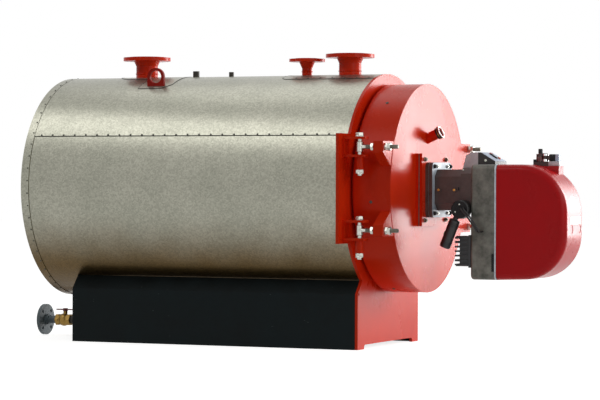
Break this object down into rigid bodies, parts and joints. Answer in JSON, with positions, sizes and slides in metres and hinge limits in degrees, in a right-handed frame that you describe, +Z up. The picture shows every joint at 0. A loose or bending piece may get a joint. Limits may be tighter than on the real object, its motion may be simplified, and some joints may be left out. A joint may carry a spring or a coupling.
{
  "type": "industrial hot-water boiler with burner",
  "caption": "Horizontal insulated hot-water boiler on a folded base, with a hinged round door that carries a hooded burner, flanged nozzles and a drain valve.",
  "frame": {"origin": "on the floor, under the middle of the boiler's whole length and width", "axes": "+X along the boiler towards the burner, +Y towards the far side from the door hinge, +Z up"},
  "size_m": [2.996, 1.334, 1.493],
  "materials": {
    "red_paint": "gloss",
    "dark_red_paint": "satin",
    "galvanised_sheet": "spangled",
    "black_paint": "satin",
    "scaled_steel": "dull",
    "black_steel": "satin",
    "grey_steel": "satin",
    "valve_brass": "satin",
    "zinc_steel": "satin",
    "mineral_wool": "matte",
    "refractory": "matte",
    "seal_rope": "matte",
    "grey_gasket": "matte",
    "sight_glass": "clear",
    "burner_casting": "satin",
    "grey_casting": "cast",
    "hood_plastic": "gloss",
    "black_motor": "satin",
    "black_plastic": "satin",
    "cable_rubber": "matte",
    "light_sheet": "satin"
  },
  "bodies": {
    "root": {"base_rear": "black_paint", "base_side_far": "black_paint", "base_side_near": "black_paint", "bracket_far": "red_paint", "bracket_near": "red_paint", "bracket_pins_far": "zinc_steel", "bracket_pins_near": "zinc_steel", "cladding_lower": "galvanised_sheet", "cladding_patches": "galvanised_sheet", "cladding_upper": "galvanised_sheet", "drain_flange": "grey_steel", "drain_pipe": "black_steel", "drain_valve": "valve_brass", "flue_spigot": "scaled_steel", "front_plate": "red_paint", "furnace_end": "scaled_steel", "furnace_tube": "scaled_steel", "insulation": "mineral_wool", "lifting_lug": "dark_red_paint", "pressure_shell": "scaled_steel", "rear_cap": "galvanised_sheet", "rear_tube_plate": "scaled_steel", "return_nozzle": "red_paint", "safety_nozzle": "red_paint", "smoke_tubes": "scaled_steel", "sockets": "black_steel", "supply_nozzle": "red_paint", "tube_plate": "scaled_steel"},
    "door": {"door_shell": "red_paint", "door_seal": "seal_rope", "door_refractory": "refractory", "door_lugs": "red_paint", "eyebolts_near": "zinc_steel", "eyebolts_far": "zinc_steel", "sight_tube": "red_paint", "sight_glass": "sight_glass", "burner_plates": "red_paint", "burner_gasket": "grey_gasket", "burner_flange": "burner_casting", "blast_tube": "scaled_steel", "burner_neck": "burner_casting", "burner_body": "grey_casting", "burner_hood": "hood_plastic", "burner_motor": "black_motor", "burner_switchgear": "black_plastic", "burner_cables": "cable_rubber", "control_box": "black_plastic", "control_bracket": "light_sheet", "gas_fittings": "black_plastic"},
    "drain_handle": {"valve_handle": "red_paint"}
  },
  "joints": [
    {"name": "door_hinge", "type": "hinge", "parent": "root", "child": "door", "pos_m": [0.59, -0.592, 0.803], "axis": [0, 0, -1], "range_deg": [0, 100]},
    {"name": "drain_valve_turn", "type": "hinge", "parent": "root", "child": "drain_handle", "pos_m": [-1.367, 0, 0.137], "axis": [0, 0, 1], "range_deg": [0, 90]}
  ]
}
